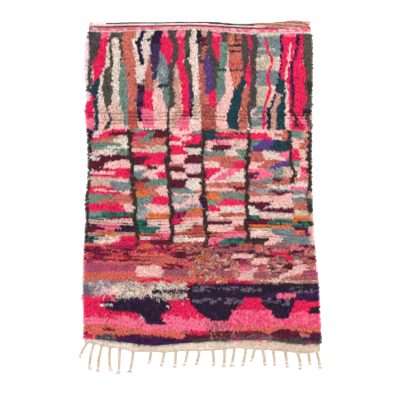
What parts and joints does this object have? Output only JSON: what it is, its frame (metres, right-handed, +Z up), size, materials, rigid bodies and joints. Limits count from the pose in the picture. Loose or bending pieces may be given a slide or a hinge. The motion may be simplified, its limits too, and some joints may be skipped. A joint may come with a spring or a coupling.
{
  "type": "boujad rug",
  "caption": "Hand-knotted wool shag rug lying flat, with a hemmed head end, a flat-woven foot band and knotted tassels along the foot.",
  "frame": {"origin": "on the floor under the middle of the rug and its tassels", "axes": "+X across the rug, +Y along it towards the hemmed head end, +Z up out of the pile"},
  "size_m": [1.5536, 2.2625, 0.0263],
  "materials": {
    "pile_wool": "matt shaggy wool pile",
    "warp_wool": "matt undyed wool cord"
  },
  "bodies": {
    "root": {"rug": "pile_wool", "fringe": "warp_wool"}
  },
  "joints": []
}
